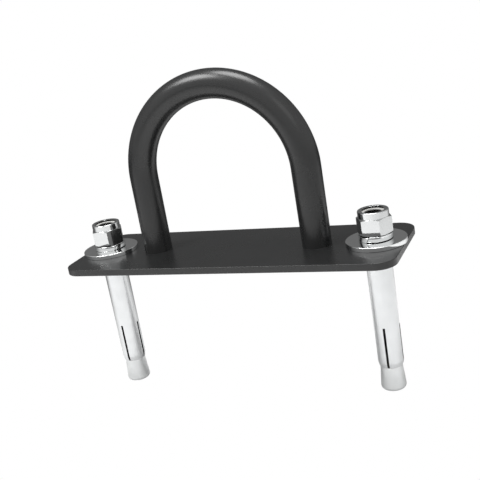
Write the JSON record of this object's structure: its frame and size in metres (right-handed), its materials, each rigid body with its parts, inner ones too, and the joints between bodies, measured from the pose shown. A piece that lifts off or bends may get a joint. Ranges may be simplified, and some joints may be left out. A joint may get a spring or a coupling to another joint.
{
  "type": "pad eye",
  "caption": "Heavy pad eye: a round-bar bow on a flat plate, held down by sleeve anchors with washers and lock nuts, for hooking a chain, shackle or rope to a wall or floor.",
  "frame": {"origin": "centre of the plate's underside, the face that lies on the wall or floor", "axes": "+X along the plate from the left anchor to the right one, +Z out of the plate through the bow, +Y across the plate"},
  "size_m": [0.223, 0.073, 0.2108],
  "materials": {
    "black_coat": "gloss black coat on steel, slightly uneven",
    "washer_zinc": "bright zinc plate, mirror-like with fine turning marks",
    "bright_zinc": "bright zinc plate, mirror-like",
    "sleeve_zinc": "satin zinc plate",
    "cone_zinc": "dull zinc plate on turned steel",
    "nylon": "natural nylon"
  },
  "bodies": {
    "pad_eye": {"base_plate": "black_coat", "u_bow": "black_coat", "left_leg_weld": "black_coat", "right_leg_weld": "black_coat"},
    "left_anchor": {"left_sleeve": "sleeve_zinc"},
    "left_nut": {"left_lock_nut": "bright_zinc", "left_nylon_ring": "nylon"},
    "left_cone_stud": {"left_stud": "cone_zinc"},
    "left_washer": {"left_flat_washer": "washer_zinc"},
    "left_spring_ring": {"left_spring_washer": "bright_zinc"},
    "right_anchor": {"right_sleeve": "sleeve_zinc"},
    "right_nut": {"right_lock_nut": "bright_zinc", "right_nylon_ring": "nylon"},
    "right_cone_stud": {"right_stud": "cone_zinc"},
    "right_washer": {"right_flat_washer": "washer_zinc"},
    "right_spring_ring": {"right_spring_washer": "bright_zinc"}
  },
  "joints": [
    {"name": "left_anchor_lift", "type": "slide", "parent": "pad_eye", "child": "left_anchor", "axis": [0, 0, 1], "range_m": [0, 0.105]},
    {"name": "left_nut_turn", "type": "hinge", "parent": "left_anchor", "child": "left_nut", "pos_m": [-0.093, 0, 0.0107], "axis": [0, 0, 1], "range_deg": [-360.5, 1080.5]},
    {"name": "left_cone_draw", "type": "slide", "parent": "left_anchor", "child": "left_cone_stud", "axis": [0, 0, 1], "range_m": [-0.00525, 0.00175]},
    {"name": "left_washer_turn", "type": "hinge", "parent": "left_anchor", "child": "left_washer", "pos_m": [-0.093, 0, 0.0043], "axis": [0, 0, 1], "continuous": true},
    {"name": "left_spring_ring_turn", "type": "hinge", "parent": "left_anchor", "child": "left_spring_ring", "pos_m": [-0.093, 0, 0.0071], "axis": [0, 0, 1], "continuous": true},
    {"name": "right_anchor_lift", "type": "slide", "parent": "pad_eye", "child": "right_anchor", "axis": [0, 0, 1], "range_m": [0, 0.105]},
    {"name": "right_nut_turn", "type": "hinge", "parent": "right_anchor", "child": "right_nut", "pos_m": [0.093, 0, 0.0107], "axis": [0, 0, 1], "range_deg": [-360.5, 1080.5]},
    {"name": "right_cone_draw", "type": "slide", "parent": "right_anchor", "child": "right_cone_stud", "axis": [0, 0, 1], "range_m": [-0.00525, 0.00175]},
    {"name": "right_washer_turn", "type": "hinge", "parent": "right_anchor", "child": "right_washer", "pos_m": [0.093, 0, 0.0043], "axis": [0, 0, 1], "continuous": true},
    {"name": "right_spring_ring_turn", "type": "hinge", "parent": "right_anchor", "child": "right_spring_ring", "pos_m": [0.093, 0, 0.0071], "axis": [0, 0, 1], "continuous": true}
  ],
  "couplings": [
    {"joint": "left_nut_turn", "follows": "left_cone_draw", "rad_per_m": -3590.4},
    {"joint": "right_nut_turn", "follows": "right_cone_draw", "rad_per_m": -3590.4}
  ]
}
